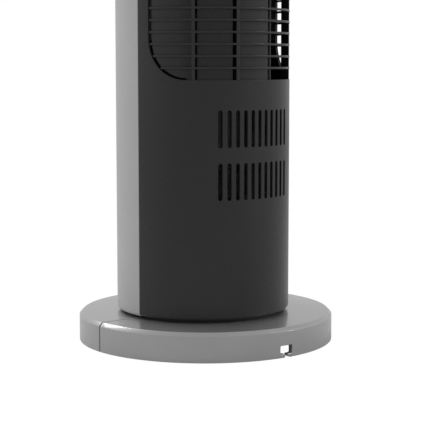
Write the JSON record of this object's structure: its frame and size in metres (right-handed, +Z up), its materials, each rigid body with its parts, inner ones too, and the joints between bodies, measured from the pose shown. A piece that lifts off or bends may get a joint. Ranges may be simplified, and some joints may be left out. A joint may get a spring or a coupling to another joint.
{
  "type": "tower fan",
  "caption": "Oscillating tower fan: round base, tall cylindrical column with a slatted intake grille at the back, an outlet grille at the front and push buttons on top.",
  "frame": {"origin": "centre of the base, on the floor", "axes": "+Z up, +Y towards the back (intake grille), +X to the left seen from the back"},
  "size_m": [0.2398, 0.2398, 0.76],
  "materials": {
    "base_silver": "glossy moulded silver-grey",
    "shell_silver": "satin silver paint on plastic",
    "charcoal": "satin moulded charcoal",
    "black_plastic": "matt moulded black",
    "acetal": "waxy natural acetal",
    "steel": "plain turned steel",
    "rubber": "matt rubber",
    "zinc": "zinc plated sheet",
    "copper": "enamelled copper wire",
    "bronze": "sintered bronze",
    "panel_gloss": "high gloss black",
    "board_green": "coated circuit board",
    "lens_amber": "clear amber lens",
    "button_silver": "satin silver"
  },
  "bodies": {
    "base": {"base_front_half": "base_silver", "base_rear_half": "base_silver", "base_hub": "black_plastic", "slip_ring": "acetal", "gear_sector": "acetal", "base_screw_1": "steel", "base_screw_2": "steel", "base_screw_3": "steel", "base_screw_4": "steel", "foot_1": "rubber", "foot_2": "rubber", "foot_3": "rubber", "foot_4": "rubber", "foot_5": "rubber", "gear_screw_1": "steel", "gear_screw_2": "steel", "gear_screw_3": "steel"},
    "column": {"column_floor": "black_plastic", "thrust_washer": "acetal", "front_shell": "shell_silver", "rear_shell": "charcoal", "handle_cover": "charcoal", "rear_grille": "charcoal", "front_grille": "black_plastic", "oscillation_motor": "zinc", "oscillation_screw_1": "steel", "oscillation_screw_2": "steel", "motor_plate": "black_plastic", "motor_can": "zinc", "motor_cover": "zinc", "stator_core": "steel", "stator_windings": "copper", "motor_bearing_lower": "bronze", "motor_bearing_upper": "bronze", "motor_mount_1": "rubber", "motor_mount_2": "rubber", "motor_mount_3": "rubber", "motor_screw_1": "steel", "motor_screw_2": "steel", "motor_screw_3": "steel", "scroll_casing": "charcoal", "stabilizer": "black_plastic", "bearing_plate": "black_plastic", "top_bearing": "rubber", "handle_cup": "black_plastic", "top_cap": "shell_silver", "control_panel": "panel_gloss", "circuit_board": "board_green", "board_screw_1": "steel", "board_screw_2": "steel", "indicator_lens": "lens_amber"},
    "pinion": {"drive_pinion": "acetal"},
    "impeller": {"impeller": "black_plastic", "impeller_pin": "steel", "motor_shaft": "steel", "rotor": "zinc"},
    "button_power": {"button_power": "button_silver"},
    "button_speed": {"button_speed": "button_silver"},
    "button_swing": {"button_swing": "button_silver"},
    "button_timer": {"button_timer": "button_silver"}
  },
  "joints": [
    {"name": "oscillation", "type": "hinge", "parent": "base", "child": "column", "pos_m": [0, 0, 0.0312], "axis": [0, 0, 1], "range_deg": [-37.4, 32.6]},
    {"name": "pinion_turn", "type": "hinge", "parent": "column", "child": "pinion", "pos_m": [0, -0.056, 0.04], "axis": [0, 0, 1], "range_deg": [-112.5, 98]},
    {"name": "impeller_spin", "type": "hinge", "parent": "column", "child": "impeller", "pos_m": [0, -0.00406, 0.4], "axis": [0, 0, 1], "continuous": true},
    {"name": "power_press", "type": "slide", "parent": "column", "child": "button_power", "axis": [0, 0, -1], "range_m": [0, 0.0008], "stiffness_N_per_m": 800, "springref_m": -0.0003},
    {"name": "speed_press", "type": "slide", "parent": "column", "child": "button_speed", "axis": [0, 0, -1], "range_m": [0, 0.0008], "stiffness_N_per_m": 800, "springref_m": -0.0003},
    {"name": "swing_press", "type": "slide", "parent": "column", "child": "button_swing", "axis": [0, 0, -1], "range_m": [0, 0.0008], "stiffness_N_per_m": 800, "springref_m": -0.0003},
    {"name": "timer_press", "type": "slide", "parent": "column", "child": "button_timer", "axis": [0, 0, -1], "range_m": [0, 0.0008], "stiffness_N_per_m": 800, "springref_m": -0.0003}
  ],
  "couplings": [
    {"joint": "pinion_turn", "follows": "oscillation", "ratio": 3}
  ]
}
